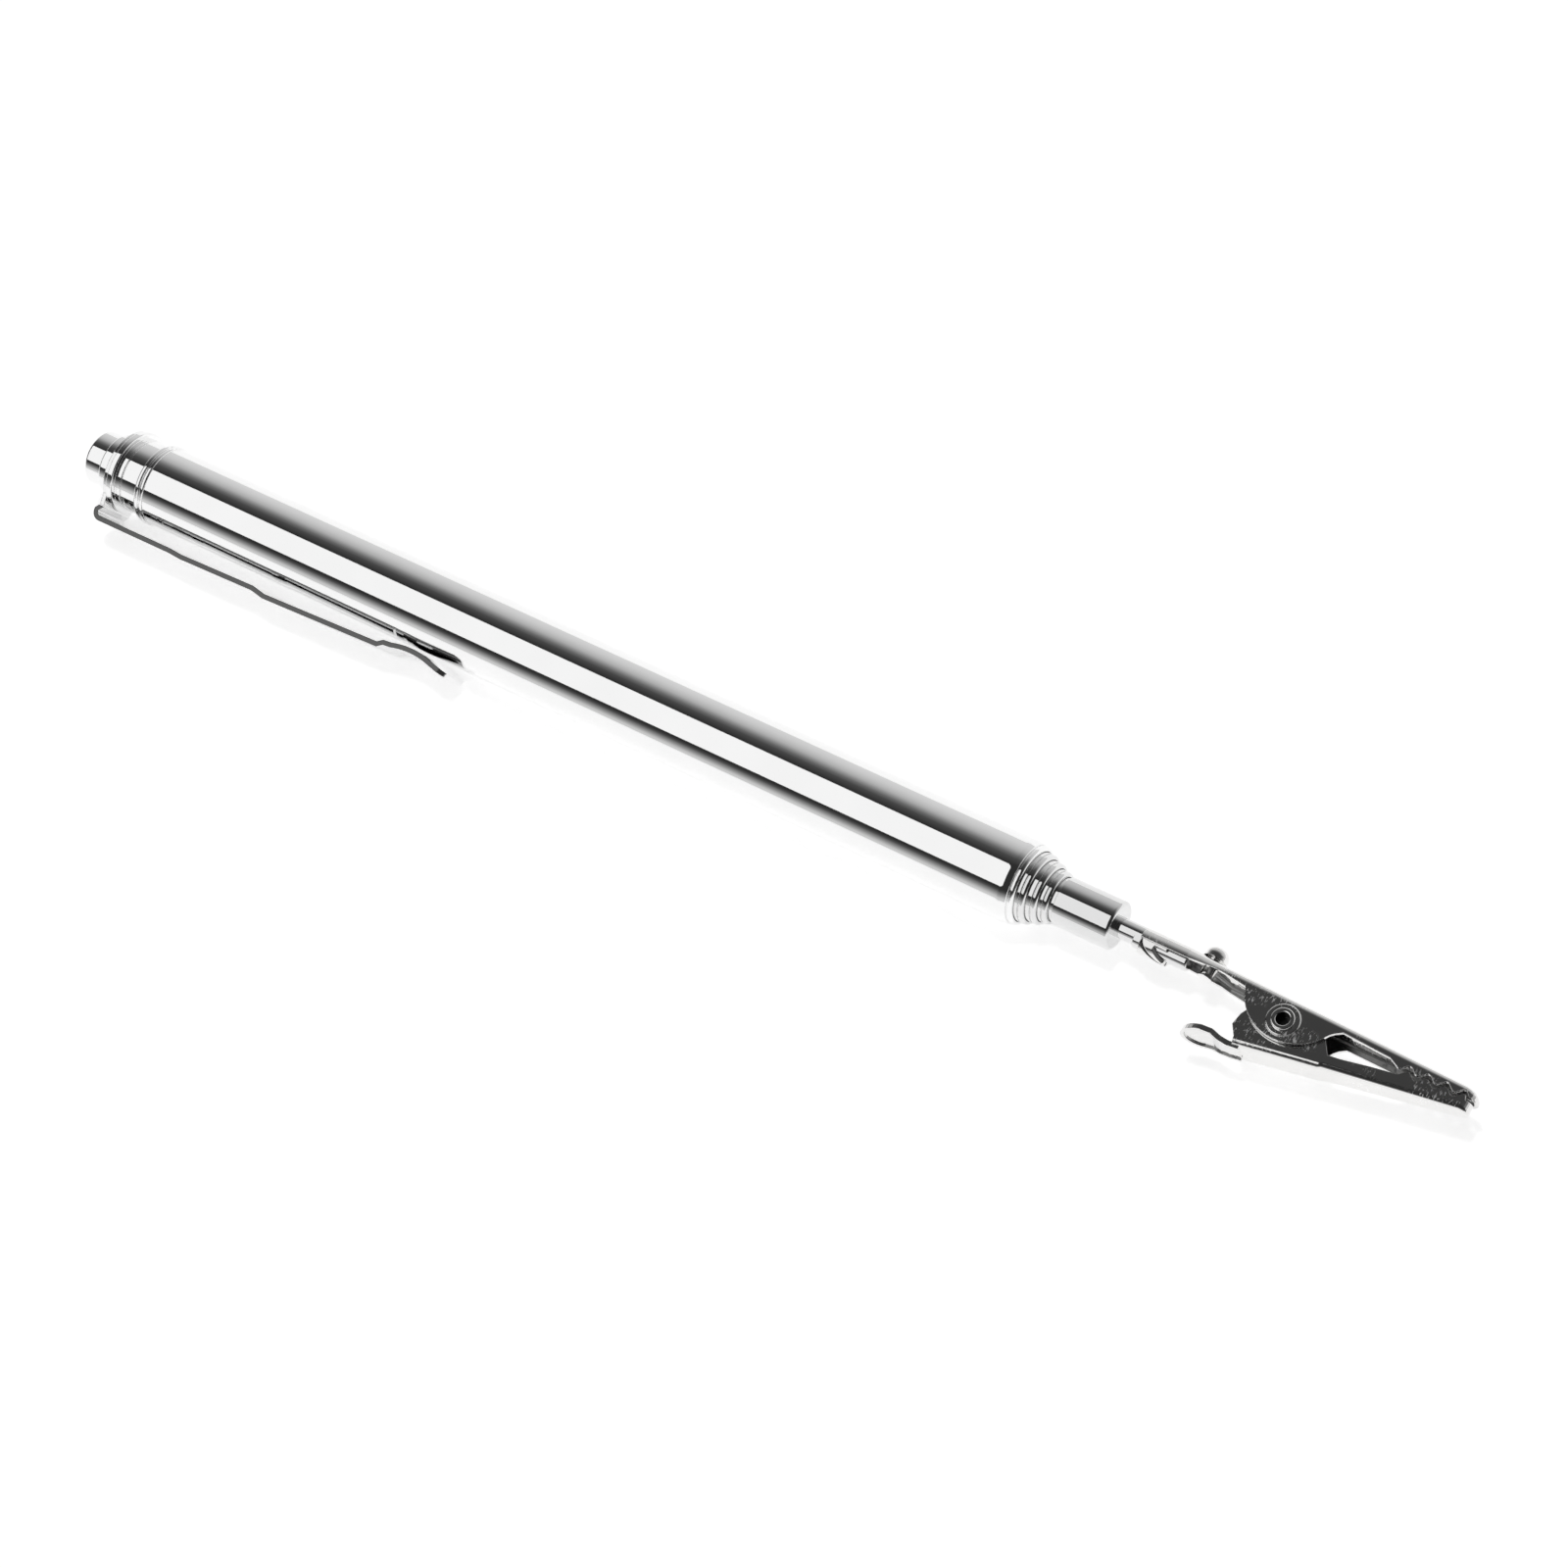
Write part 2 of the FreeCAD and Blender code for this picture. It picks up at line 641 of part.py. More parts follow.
def make_upper_jaw():
    thickness = size("sheet")
    start, tip = size("jaw_start"), size("jaw_tip")
    pivot_x, pivot_y = size("pivot_x"), size("pivot_y")
    nose, drop = size("nose_length"), size("nose_drop")
    depth = size("upper_open_side")
    outer = jaw_block(UPPER_STATIONS, 0.0, start, tip, depth, nose, drop)
    inner = jaw_block(UPPER_STATIONS, thickness, start - 1.0, tip, depth - thickness, nose, drop)

    lobe_y = pivot_y + size("lobe_rise")
    edge = [(start - 1, BEYOND)] + [(start - 1, TAIL_EDGE[0][1])] + TAIL_EDGE
    edge += arc_points(pivot_x, lobe_y, size("lobe_radius"), *LOBE_SWEEP, 18)
    edge += UPPER_WINDOW
    edge += teeth(size("tooth_start"), size("tooth_end"), upper_teeth_line)
    edge += UPPER_NOSE + [(tip + 1, UPPER_NOSE[-1][1]), (tip + 1, BEYOND)]
    jaw = outer.cut(inner).common(side_prism(edge, BEYOND))

    height = size("boss_height")
    for toward in (1, -1):
        face = toward * size("body_half_width")
        foot = V(pivot_x, pivot_y, face - toward * thickness / 2)
        boss = Part.makeCylinder(size("boss_radius"), height + thickness / 2, foot, V(0, 0, toward))
        far = [edge for edge in boss.Edges if abs(edge.CenterOfMass.z - face - toward * height) < TOUCHING]
        jaw = jaw.fuse(boss.makeFillet(size("boss_rounding"), far))
    jaw = jaw.cut(Part.makeCylinder(size("rivet_radius"), 2 * BEYOND, V(pivot_x, pivot_y, -BEYOND), Z_AXIS))
    hole = rod((size("screw_x"), BEYOND, 0), (size("screw_x"), -1, 0), size("screw_shank_radius"))
    feature("upper_jaw", jaw.cut(hole).fuse(crimp()).removeSplitter())


def thumb_pad():
    """The spoon at the lower jaw's rear; its hollow faces away from the tail."""
    thickness = size("sheet")
    radius, middle = size("pad_radius"), size("pad_middle")
    rim_width = size("pad_rim_width")
    neck = [(x, half) for x, half in PAD_NECK]
    outline = neck + arc_points(middle, 0.0, radius, 90, 270, 16) + [(x, -half) for x, half in neck[::-1]]
    inside = [(x, half - rim_width) for x, half in neck]
    hollow = inside + arc_points(middle, 0.0, radius - rim_width, 90, 270, 16)
    hollow += [(x, -half) for x, half in inside[::-1]]
    plate = side_prism(band(PAD_LINE, thickness), BEYOND)
    rim_line = [(x, y - size("pad_rim_height") / 2) for x, y in PAD_LINE]
    rim = side_prism(band(rim_line, thickness + size("pad_rim_height")), BEYOND)
    rim = rim.common(plan_prism(outline, -2 * BEYOND, 0.0)).cut(plan_prism(hollow, -2 * BEYOND, 0.0))
    return plate.common(plan_prism(outline, -2 * BEYOND, 0.0)).fuse(rim)


def make_lower_jaw():
    thickness = size("sheet")
    pivot_x, pivot_y = size("pivot_x"), size("pivot_y")
    start, tip = size("lower_jaw_start"), size("lower_jaw_tip")
    stations = lower_stations()
    nose, drop = size("lower_nose_length"), size("lower_nose_drop")
    depth = size("lower_open_side")
    outer = jaw_block(stations, 0.0, start, tip, depth, nose, drop)
    inner = jaw_block(stations, thickness, start - 1.0, tip, depth + thickness, nose, drop)
    edge = LOWER_EAR + teeth(size("tooth_start"), size("tooth_end"), lower_teeth_line)
    edge += LOWER_NOSE + [(tip + 1, LOWER_NOSE[-1][1]), (tip + 1, -BEYOND)]
    jaw = outer.cut(inner).common(side_prism(edge, BEYOND)).fuse(thumb_pad())
    hole = size("rivet_radius") + size("pivot_clearance")
    jaw = jaw.cut(Part.makeCylinder(hole, 2 * BEYOND, V(pivot_x, pivot_y, -BEYOND), Z_AXIS))
    feature("lower_jaw", jaw.removeSplitter())


def make_rivet():
    """A semi-tubular rivet: drawn along X, then stood on its head's far side along Z at the pivot."""
    rivet = turned("jaw_rivet", [
        ("0 - rivet_reach", "0"), ("0 - rivet_reach", "rivet_rim_radius"),
        ("0 - rivet_seat", "rivet_rim_radius"), ("0 - rivet_seat", "rivet_radius"),
        ("rivet_seat", "rivet_radius"), ("rivet_seat", "rivet_rim_radius"),
        ("rivet_reach", "rivet_rim_radius"), ("rivet_reach", "rivet_bore"),
        ("rivet_floor", "rivet_bore"), ("rivet_floor", "0"),
    ])
    rounded(rivet, [
        ("0 - rivet_reach", "rivet_rim_radius"), ("rivet_reach", "rivet_rim_radius"),
        ("rivet_reach", "rivet_bore"),
    ], "rivet_rounding")
    upright = FreeCAD.Rotation(X_AXIS, Z_AXIS)
    rivet.Placement = FreeCAD.Placement(V(size("pivot_x"), size("pivot_y"), 0), upright)


def make_spring():
    """A closely wound coil round the rivet, with one leg under each jaw's back."""
    pivot_x, pivot_y = size("pivot_x"), size("pivot_y")
    radius, wire = size("spring_radius"), size("spring_wire")
    turns = int(size("spring_turns"))
    low = -wire * (turns - 1)
    thick = wire + size("spring_overlap")
    heights = [low + 2 * wire * turn for turn in range(turns)]
    rings = [Part.makeTorus(radius, thick, V(pivot_x, pivot_y, height), Z_AXIS) for height in heights]
    for ring in rings:
        ring.rotate(V(pivot_x, pivot_y, 0), Z_AXIS, size("spring_seam"))
    leaves = math.radians(size("spring_leg_angle"))
    leg_x, leg_y = pivot_x + radius * math.cos(leaves), radius * math.sin(leaves)
    upper_leg = rod((leg_x, pivot_y + leg_y, -low), (*SPRING_UPPER_END, -low), wire)
    lower_leg = rod((leg_x, pivot_y - leg_y, low), (*SPRING_LOWER_END, low), wire)
    spring = rings[0]
    for piece in rings[1:] + [upper_leg, lower_leg]:
        spring = spring.fuse(piece)
    feature("jaw_spring", spring.removeSplitter())


def make_screw():
    """A slotted, round-headed screw: drawn along X, then stood up along Y through the tail's back."""
    screw = turned("terminal_screw_blank", [
        ("screw_end", "0"), ("screw_end", "screw_shank_radius"),
        ("screw_head_base", "screw_shank_radius"), ("screw_head_base", "screw_head_radius"),
        ("screw_head_base + screw_head_height", "screw_head_radius"),
        ("screw_head_base + screw_head_height", "0"),
    ], kept=False)
    rounded(screw, [("screw_head_base + screw_head_height", "screw_head_radius")], "screw_head_rounding")
    upright = FreeCAD.Rotation(X_AXIS, Y_AXIS)
    screw.Placement = FreeCAD.Placement(V(size("screw_x"), 0, 0), upright)
    slot = doc.addObject("Part::Box", "terminal_screw_slot_tool")
    slot.Length = size("screw_slot")
    slot.Width = 2 * size("screw_slot_depth")
    slot.Height = 2 * BEYOND
    top = amount("screw_head_base + screw_head_height - screw_slot_depth")
    slot.Placement.Base = V(size("screw_x") - size("screw_slot") / 2, top, -BEYOND)
    slotted = doc.addObject("Part::Cut", "terminal_screw")
    slotted.Base = screw
    slotted.Tool = slot
    keep(slotted, "terminal_screw")


def write_parts():
    """Checks every object of the document, then writes each sub-part as a STEP file."""
    doc.recompute()
    for thing in doc.Objects:
        if "Invalid" in thing.State or "Error" in thing.State:
            raise RuntimeError(f"{thing.Label} failed: {thing.State}")
    os.makedirs("parts", exist_ok=True)
    for thing in parts:
        shape = thing.Shape
        if shape.isNull() or not shape.isValid() or len(shape.Solids) != 1:
            raise RuntimeError(f"{thing.Label}: {len(shape.Solids)} solids, valid {shape.isValid()}")
        shape.exportStep(os.path.join("parts", thing.Label + ".step"))
        print(f"{thing.Label:22s} {shape.Volume:9.3f} mm3")


make_rear_end()
make_outer_tube()
for stage in range(1, LAST_STAGE):
    make_stage_tube(stage)
make_last_tube()
for stage in range(1, LAST_STAGE + 1):
    make_sleeve(stage)
make_tip_fittings()
make_pocket_clip()
make_upper_jaw()
make_lower_jaw()
make_rivet()
make_spring()
make_screw()
write_parts()
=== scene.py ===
import math

import bpy
from mathutils import Matrix, Vector


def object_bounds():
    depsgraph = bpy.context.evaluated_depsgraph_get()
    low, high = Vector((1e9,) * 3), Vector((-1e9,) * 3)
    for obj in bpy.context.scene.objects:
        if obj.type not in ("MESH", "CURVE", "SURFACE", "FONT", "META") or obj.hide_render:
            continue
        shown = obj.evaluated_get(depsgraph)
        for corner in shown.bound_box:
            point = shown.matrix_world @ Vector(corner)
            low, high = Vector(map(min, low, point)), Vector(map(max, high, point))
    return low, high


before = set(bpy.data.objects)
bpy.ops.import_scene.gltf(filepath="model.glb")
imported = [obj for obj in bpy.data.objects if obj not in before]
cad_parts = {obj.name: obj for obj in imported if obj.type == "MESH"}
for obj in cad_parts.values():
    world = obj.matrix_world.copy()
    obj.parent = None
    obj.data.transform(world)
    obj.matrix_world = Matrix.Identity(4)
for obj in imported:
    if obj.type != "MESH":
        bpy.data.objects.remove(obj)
cad_box = [list(corner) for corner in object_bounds()]

MM = 0.001

# The camera starts square to the tube. It is turned towards the tip, rolled about the tube, then rolled in
# the picture.
TURN_TO_TIP = math.radians(24.8)
ROLL_ABOUT_TUBE = math.radians(20.0)
PICTURE_ROLL = math.radians(24.85)
CAMERA_DISTANCE = 390.6 * MM
AIM_ALONG_TUBE = 86.3 * MM
AIM_BELOW_AXIS = 1.05 * MM
LENS = 94.5
SENSOR = 36.0
CLIP_START = 0.02
CLIP_END = 20.0

# Sky brightness in reflections, by the angle about the tube's axis: 0 is the horizon on the +Y side, 90 is
# straight up and 180 is the horizon on the -Y side.
SKY_BANDS = (
    (0, 0.74),
    (18, 0.66),
    (28, 0.58),
    (38, 0.47),
    (47, 0.29),
    (55, 0.15),
    (64, 0.07),
    (80, 0.03),
    (150, 0.03),
    (156, 0.08),
    (165, 0.30),
    (173, 0.60),
    (180, 0.70),
)
SKY_SEEN_BY_CAMERA = 0.9
# The softbox: its angles about the tube, its distance, its ends along the tube, its corners and its glow.
CARD_ANGLES = (83.0, 144.0)
CARD_DISTANCE = 0.75
CARD_ENDS = (-0.85, 0.03)
CARD_CORNER = 0.2
CARD_GLOW = 1.02

# What the floor is lit with. Its own glow keeps the shadows pale.
FLOOR_GLOW = 0.60
SKY_ON_FLOOR = 0.25
LIGHT_AIM = (0.08, 0.0, 0.0)
KEY_PLACE = (0.10, 0.10, 0.9)
KEY_SIZE = 0.10
KEY_POWER = 1.1
FILL_PLACE = (0.10, 0.10, 1.1)
FILL_SIZE = 0.8
FILL_POWER = 1.8
FLOOR_REACH = 4.0
FLOOR_GREYS = (0.90, 0.92)
FLOOR_ROUGHNESS = 0.9

# The plated finish. A noise is given as scale, detail and roughness.
POLISH = (4000.0, 3.0, 0.6)
CLOUD = (160.0, 2.0, 0.5)
FLOOR_GRAIN = (300.0, 3.0, 0.6)
BEVEL_SAMPLES = 6
WEAR_GAIN = 4.0
WEAR_STOPS = ((0.35, 0.2), (0.65, 1.0))
WEAR_ROUGHNESS = 0.08
PATCH_STOPS = ((0.48, 0.0), (0.60, 1.0))
SCUFF_HEIGHT = 0.8
BUMP_STRENGTH = 0.12
BUMP_DEPTH = 2e-6

# Where the masks of painted shade lie: on the jaws' inner walls, the strap's faces and the rivet's bore.
INSIDE_DEPTH = 0.2 * MM
SIDE_FACING = 0.97
RIVET_MIDDLE = (141.55 * MM, -2.35 * MM, 0.0)
RIVET_BORE = 0.66 * MM

# Sockets of the Mix node that carry colours.
MIX_FIRST = 6
MIX_SECOND = 7
MIX_RESULT = 2


class Graph:
    """Adds shader nodes to a node tree and links them."""

    def __init__(self, tree):
        self.tree = tree
        tree.nodes.clear()

    def add(self, kind, settings=None, **inputs):
        """A new node. Input names use underscores for spaces; a socket is linked and a value is set."""
        made = self.tree.nodes.new(kind)
        for name, value in (settings or {}).items():
            setattr(made, name, value)
        for name, value in inputs.items():
            self.feed(made.inputs[name.replace("_", " ")], value)
        return made

    def feed(self, socket, value):
        if isinstance(value, bpy.types.NodeSocket):
            self.tree.links.new(value, socket)
        else:
            socket.default_value = value

    def maths(self, operation, *values):
        """The result of a Math node."""
        made = self.add("ShaderNodeMath", {"operation": operation})
        for socket, value in zip(made.inputs, values):
            self.feed(socket, value)
        return made.outputs[0]

    def ramp(self, factor, stops):
        """Grey ramp with (position, brightness) stops."""
        made = self.add("ShaderNodeValToRGB", Fac=factor)
        elements = made.color_ramp.elements
        while len(elements) < len(stops):
            elements.new(1.0)
        for element, (place, grey) in zip(elements, stops):
            element.position = place
            element.color = (grey, grey, grey, 1.0)
        return made.outputs["Color"]

    def mix(self, factor, first, second):
        """Colour mixed from first, at factor 0, to second, at factor 1."""
        made = self.add("ShaderNodeMix", {"data_type": "RGBA"})
        self.feed(made.inputs["Factor"], factor)
        self.feed(made.inputs[MIX_FIRST], first)
        self.feed(made.inputs[MIX_SECOND], second)
        return made.outputs[MIX_RESULT]

    def noise(self, scale, detail, roughness, stretch=(1.0, 1.0, 1.0)):
        """Noise in object space, its pattern repeated `stretch` times as often along each axis."""
        place = self.add("ShaderNodeTexCoord")
        mapping = self.add("ShaderNodeMapping", Vector=place.outputs["Object"], Scale=stretch)
        made = self.add(
            "ShaderNodeTexNoise",
            Vector=mapping.outputs[0],
            Scale=scale,
            Detail=detail,
            Roughness=roughness,
        )
        return made.outputs["Fac"]


def tinted(level, tint=(1.0, 1.0, 1.0)):
    """A grey of this level, tinted, as a colour."""
    return tuple(level * part for part in tint) + (1.0,)


def inner_wall_shade_mask(graph):
    """1 on the jaws' inner walls, which face the plane z = 0 from either side, and 0 outside. These walls
    get painted shade.
    """
    place = graph.add("ShaderNodeSeparateXYZ", Vector=graph.add("ShaderNodeTexCoord").outputs["Object"])
    surface = graph.add("ShaderNodeNewGeometry")
    normal = graph.add("ShaderNodeSeparateXYZ", Vector=surface.outputs["True Normal"])
    product = graph.maths("MULTIPLY", place.outputs["Z"], normal.outputs["Z"])
    return graph.maths("LESS_THAN", product, -INSIDE_DEPTH)


def rivet_bore_shade_mask(graph):
    """1 on the wall of the rivet's bore, close to its axis, and 0 elsewhere. This wall gets painted shade.
    """
    place = graph.add("ShaderNodeTexCoord").outputs["Object"]
    offset = graph.add("ShaderNodeVectorMath", {"operation": "SUBTRACT"})
    graph.feed(offset.inputs[0], place)
    graph.feed(offset.inputs[1], RIVET_MIDDLE)
    parts = graph.add("ShaderNodeSeparateXYZ", Vector=offset.outputs["Vector"])
    across = graph.add("ShaderNodeCombineXYZ", X=parts.outputs["X"], Y=parts.outputs["Y"])
    length = graph.add("ShaderNodeVectorMath", {"operation": "LENGTH"})
    graph.feed(length.inputs[0], across.outputs[0])
    return graph.maths("LESS_THAN", length.outputs["Value"], RIVET_BORE)


def facing_shade_mask(graph, direction):
    """1 on faces that look along the direction or against it, and 0 elsewhere. These faces get painted
    shade.
    """
    surface = graph.add("ShaderNodeNewGeometry")
    facing = graph.add("ShaderNodeVectorMath", {"operation": "DOT_PRODUCT"})
    graph.feed(facing.inputs[0], surface.outputs["True Normal"])
    graph.feed(facing.inputs[1], direction)
    return graph.maths("GREATER_THAN", graph.maths("ABSOLUTE", facing.outputs["Value"]), SIDE_FACING)


def plated_metal(
    name, levels, tint, gloss, edge, grain, scuffs=None, shade=None, shade_level=0.3, shade_rough=0.2
):
    """Plated metal with polish marks along `grain` and worn edges rounded by `edge`.

    `levels` and `gloss` are the ranges of brightness and roughness. `scuffs` adds short marks. `shade` gives
    a mask of faces with painted shade, `shade_level` their painted-dark brightness and `shade_rough` their
    added roughness.
    """
    material = bpy.data.materials.new(name)
    material.use_nodes = True
    graph = Graph(material.node_tree)
    dark, light = (tinted(level, tint) for level in levels)
    polish = graph.noise(*POLISH, grain)
    cloud = graph.noise(*CLOUD)
    colour = graph.mix(cloud, dark, light)
    rough = graph.maths("MULTIPLY_ADD", polish, gloss[1] - gloss[0], gloss[0])

    rounded = graph.add("ShaderNodeBevel", {"samples": BEVEL_SAMPLES}, Radius=edge)
    surface = graph.add("ShaderNodeNewGeometry")
    facing = graph.add("ShaderNodeVectorMath", {"operation": "DOT_PRODUCT"})
    graph.feed(facing.inputs[0], rounded.outputs[0])
    graph.feed(facing.inputs[1], surface.outputs["Normal"])
    turned = graph.maths("SUBTRACT", 1.0, facing.outputs["Value"])
    wear = graph.maths("MINIMUM", graph.maths("MULTIPLY", turned, WEAR_GAIN), 1.0)
    worn = graph.maths("MULTIPLY", wear, graph.ramp(polish, WEAR_STOPS))
    colour = graph.mix(worn, colour, light)
    rough = graph.maths("MULTIPLY_ADD", worn, WEAR_ROUGHNESS, rough)
    height = polish
    if scuffs:
        marks = graph.ramp(graph.noise(*scuffs["noise"]), scuffs["cut"])
        patches = graph.ramp(graph.noise(*scuffs["patches"]), PATCH_STOPS)
        marked = graph.maths("MULTIPLY", marks, patches)
        colour = graph.mix(marked, colour, scuffs["colour"])
        rough = graph.maths("MULTIPLY_ADD", marked, scuffs["rough"], rough)
        height = graph.maths("MULTIPLY_ADD", marked, SCUFF_HEIGHT, height)
    # Painted shade: the masked faces are darkened to shade_level.
    if shade:
        painted_shade_mask = shade(graph)
        colour = graph.mix(painted_shade_mask, colour, tinted(shade_level, tint))
        rough = graph.maths("MULTIPLY_ADD", painted_shade_mask, shade_rough, rough)
    bump = graph.add(
        "ShaderNodeBump",
        Strength=BUMP_STRENGTH,
        Distance=BUMP_DEPTH,
        Height=height,
        Normal=rounded.outputs[0],
    )
    shader = graph.add(
        "ShaderNodeBsdfPrincipled",
        Base_Color=colour,
        Metallic=1.0,
        Roughness=rough,
        Normal=bump.outputs[0],
    )
    graph.add("ShaderNodeOutputMaterial", Surface=shader.outputs[0])
    return material


# Short marks on the jaws: the noise that is cut into marks, the noise of their patches, and their look.
SCUFFS = {
    "noise": (2600.0, 3.0, 0.55, (2.4, 0.7, 1.0)),
    "cut": ((0.56, 0.0), (0.61, 1.0)),
    "patches": (420.0, 2.0, 0.5, (0.5, 1.0, 1.0)),
    "colour": (0.92, 0.92, 0.92, 1.0),
    "rough": 0.38,
}
STRAP_WIDTH_DIRECTION = (0.0, -math.sin(ROLL_ABOUT_TUBE), math.cos(ROLL_ABOUT_TUBE))
NEUTRAL = (1.0, 1.0, 1.0)
NICKEL = (1.0, 0.995, 0.985)
BRASS = (1.0, 0.80, 0.50)
ALONG_TUBE = (0.05, 1.0, 1.0)
EVEN = (1.0, 1.0, 1.0)

# One finish for each of the part's material slots.
FINISHES = {
    "chrome_tube": plated_metal("chrome_tube", (0.86, 0.91), NEUTRAL, (0.02, 0.05), 0.10 * MM, ALONG_TUBE),
    "chrome_stage": plated_metal("chrome_stage", (0.70, 0.78), NEUTRAL, (0.03, 0.07), 0.08 * MM, ALONG_TUBE),
    "pocket_clip": plated_metal("pocket_clip", (0.80, 0.88), NEUTRAL, (0.04, 0.10), 0.10 * MM, ALONG_TUBE),
    # The jaws' inner walls get painted shade, darkened to 0.3.
    "jaw_nickel": plated_metal(
        "jaw_nickel", (0.74, 0.84), NICKEL, (0.05, 0.12), 0.09 * MM, EVEN, SCUFFS, inner_wall_shade_mask
    ),
    # The rivet's bore gets painted shade, nearly black.
    "rivet_nickel": plated_metal(
        "rivet_nickel", (0.80, 0.88), NICKEL, (0.05, 0.12), 0.08 * MM, EVEN, None, rivet_bore_shade_mask, 0.08
    ),
    "screw_nickel": plated_metal("screw_nickel", (0.80, 0.88), NICKEL, (0.05, 0.12), 0.08 * MM, EVEN),
    "spring_steel": plated_metal("spring_steel", (0.55, 0.66), NICKEL, (0.12, 0.25), 0.03 * MM, EVEN),
    "sleeve_brass": plated_metal("sleeve_brass", (0.72, 0.82), BRASS, (0.15, 0.30), 0.05 * MM, EVEN),
}
# Faces of the strap that look along STRAP_WIDTH_DIRECTION get painted shade, nearly black.
STRAP_FINISH = plated_metal(
    "pocket_clip_strap", (0.80, 0.88), NEUTRAL, (0.04, 0.10), 0.12 * MM, ALONG_TUBE, None,
    lambda graph: facing_shade_mask(graph, STRAP_WIDTH_DIRECTION), 0.12, 0.15,
)


def finish_cad_nodes():
    """Gives every carried CAD node the finish of its own slot."""
    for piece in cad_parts.values():
        for holder in piece.material_slots:
            holder.material = FINISHES[holder.material.name.split(".")[0]]
    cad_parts["pocket_clip_strap"].material_slots[0].material = STRAP_FINISH


def camera_axes():
    """The camera's right, up and backward directions, and the one from the tube's axis down its picture."""
    down_tube = Vector((0.0, -math.cos(ROLL_ABOUT_TUBE), -math.sin(ROLL_ABOUT_TUBE)))
    off_tube = Vector((0.0, -math.sin(ROLL_ABOUT_TUBE), math.cos(ROLL_ABOUT_TUBE)))
    along = Vector((1.0, 0.0, 0.0))
    back = along * math.sin(TURN_TO_TIP) + off_tube * math.cos(TURN_TO_TIP)
    side = along * math.cos(TURN_TO_TIP) - off_tube * math.sin(TURN_TO_TIP)
    right = side * math.cos(PICTURE_ROLL) - down_tube * math.sin(PICTURE_ROLL)
    up = -side * math.sin(PICTURE_ROLL) - down_tube * math.cos(PICTURE_ROLL)
    return right, up, back, down_tube


def add_camera():
    """The camera, aimed a little below the tube's axis."""
    right, up, back, down_tube = camera_axes()
    data = bpy.data.cameras.new("camera")
    data.lens = LENS
    data.sensor_width = SENSOR
    data.clip_start = CLIP_START
    data.clip_end = CLIP_END
    camera = bpy.data.objects.new("camera", data)
    place = Vector((AIM_ALONG_TUBE, 0.0, 0.0)) + down_tube * AIM_BELOW_AXIS + back * CAMERA_DISTANCE
    turn = Matrix((right, up, back)).transposed().to_4x4()
    camera.matrix_world = Matrix.Translation(place) @ turn
    bpy.context.scene.collection.objects.link(camera)
    bpy.context.scene.camera = camera


def emission_material(name, strength):
    """A plain glow."""
    material = bpy.data.materials.new(name)
    material.use_nodes = True
    graph = Graph(material.node_tree)
    glow = graph.add("ShaderNodeEmission", Strength=strength)
    graph.add("ShaderNodeOutputMaterial", Surface=glow.outputs[0])
    return material


def stage_mesh(name, corners, material):
    """A flat stage object with these corners, in order."""
    mesh = bpy.data.meshes.new(name)
    mesh.from_pydata(corners, [], [range(len(corners))])
    mesh.materials.append(material)
    made = bpy.data.objects.new(name, mesh)
    bpy.context.scene.collection.objects.link(made)
    return made


def rounded_corners(half_long, half_wide, radius, steps=8):
    """Points of a rectangle with rounded corners about the origin."""
    points = []
    for quarter, (sign_x, sign_y) in enumerate(((1, 1), (-1, 1), (-1, -1), (1, -1))):
        for step in range(steps + 1):
            angle = math.pi / 2 * (quarter + step / steps)
            points.append((
                sign_x * (half_long - radius) + radius * math.cos(angle),
                sign_y * (half_wide - radius) + radius * math.sin(angle),
            ))
    return points


def add_softbox():
    """The large softbox above the tube. Only reflections show it."""
    start, end = (math.radians(angle) for angle in CARD_ANGLES)
    middle = (start + end) / 2
    half_wide = CARD_DISTANCE * math.tan((end - start) / 2)
    half_long = (CARD_ENDS[1] - CARD_ENDS[0]) / 2
    outward = Vector((0.0, math.cos(middle), math.sin(middle)))
    across = Vector((0.0, -math.sin(middle), math.cos(middle)))
    centre = Vector(((CARD_ENDS[0] + CARD_ENDS[1]) / 2, 0.0, 0.0)) + outward * CARD_DISTANCE
    corners = [
        centre + Vector((x, 0.0, 0.0)) + across * y
        for x, y in rounded_corners(half_long, half_wide, CARD_CORNER)
    ]
    card = stage_mesh("softbox", corners, emission_material("softbox_glow", CARD_GLOW))
    card.visible_camera = False
    card.visible_diffuse = False


def add_area_light(name, place, aim, size, power):
    """A soft light for the floor. It isn't seen in reflections."""
    data = bpy.data.lights.new(name, "AREA")
    data.shape = "DISK"
    data.size = size
    data.energy = power
    made = bpy.data.objects.new(name, data)
    made.location = place
    made.rotation_mode = "QUATERNION"
    made.rotation_quaternion = (Vector(place) - Vector(aim)).to_track_quat("Z", "Y")
    made.visible_camera = False
    made.visible_glossy = False
    bpy.context.scene.collection.objects.link(made)


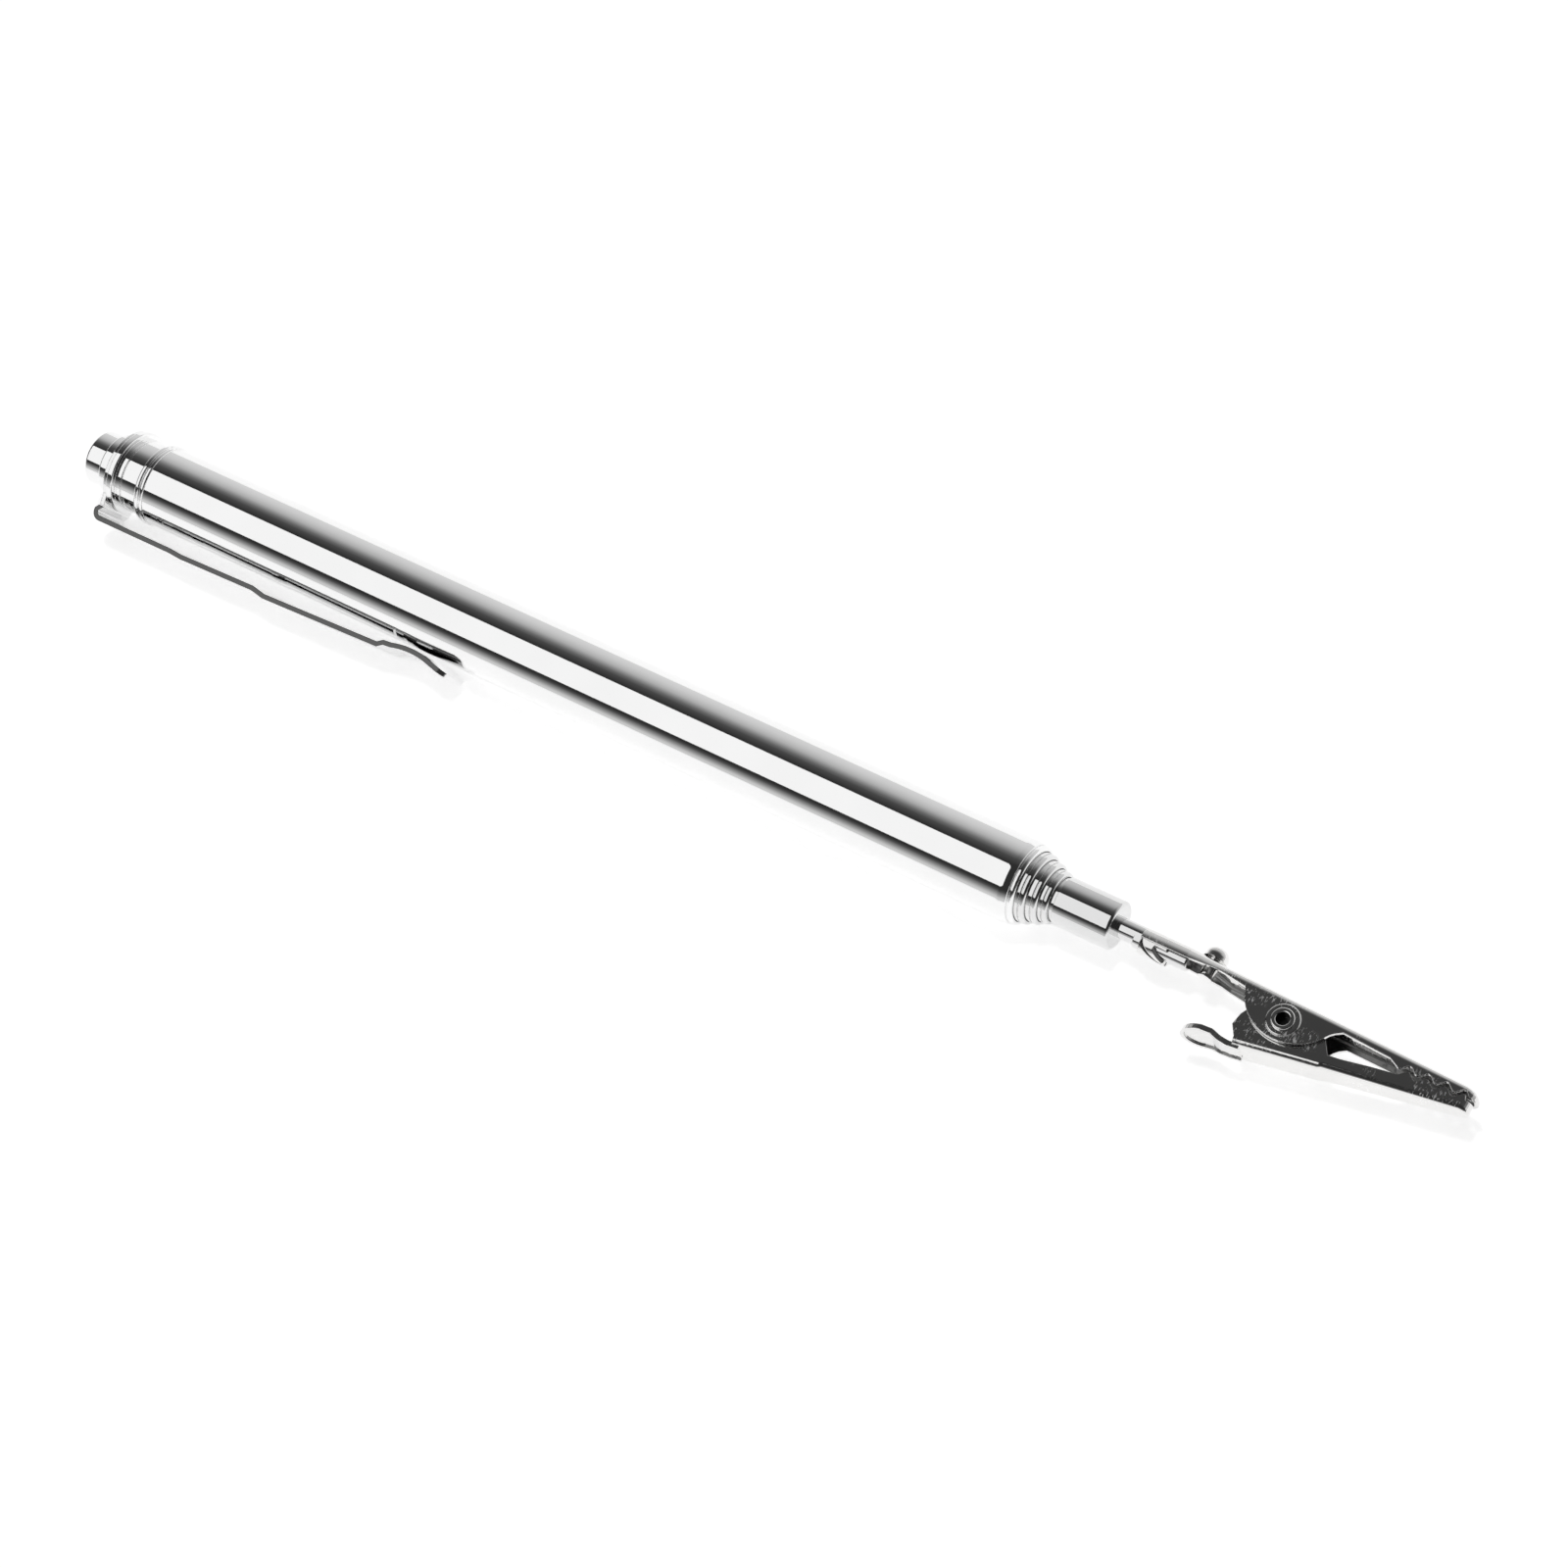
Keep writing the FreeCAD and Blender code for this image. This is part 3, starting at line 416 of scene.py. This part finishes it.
def add_sky():
    """Bands of brightness for reflections, a plain level for the floor and another for the camera."""
    world = bpy.data.worlds.new("studio")
    world.use_nodes = True
    bpy.context.scene.world = world
    graph = Graph(world.node_tree)
    direction = graph.add("ShaderNodeTexCoord").outputs["Generated"]
    parts = graph.add("ShaderNodeSeparateXYZ", Vector=direction)
    angle = graph.maths("ARCTAN2", parts.outputs["Z"], parts.outputs["Y"])
    share = graph.maths("DIVIDE", angle, math.pi)
    bands = graph.ramp(share, [(degrees / 180, grey) for degrees, grey in SKY_BANDS])
    ray = graph.add("ShaderNodeLightPath")
    seen = graph.mix(ray.outputs["Is Diffuse Ray"], bands, tinted(SKY_ON_FLOOR))
    seen = graph.mix(ray.outputs["Is Camera Ray"], seen, tinted(SKY_SEEN_BY_CAMERA))
    glow = graph.add("ShaderNodeBackground", Color=seen, Strength=1.0)
    graph.add("ShaderNodeOutputWorld", Surface=glow.outputs[0])


def add_floor():
    """A pale floor that touches the lowest part, with a very faint grain."""
    material = bpy.data.materials.new("floor_paper")
    material.use_nodes = True
    graph = Graph(material.node_tree)
    grain = graph.noise(*FLOOR_GRAIN)
    colour = graph.mix(grain, *(tinted(level) for level in FLOOR_GREYS))
    shader = graph.add("ShaderNodeBsdfPrincipled", Base_Color=colour, Roughness=FLOOR_ROUGHNESS)
    shader.inputs["Specular IOR Level"].default_value = 0.0
    shader.inputs["Emission Color"].default_value = (1.0, 1.0, 1.0, 1.0)
    shader.inputs["Emission Strength"].default_value = FLOOR_GLOW
    graph.add("ShaderNodeOutputMaterial", Surface=shader.outputs[0])
    height = cad_box[0][2]
    signs = ((-1, -1), (1, -1), (1, 1), (-1, 1))
    corners = [(x * FLOOR_REACH, y * FLOOR_REACH, height) for x, y in signs]
    stage_mesh("floor", corners, material)


finish_cad_nodes()
add_camera()
add_sky()
add_softbox()
add_floor()
add_area_light("fill_light", FILL_PLACE, LIGHT_AIM, FILL_SIZE, FILL_POWER)
add_area_light("key_light", KEY_PLACE, LIGHT_AIM, KEY_SIZE, KEY_POWER)
bpy.context.scene.view_settings.view_transform = "Standard"
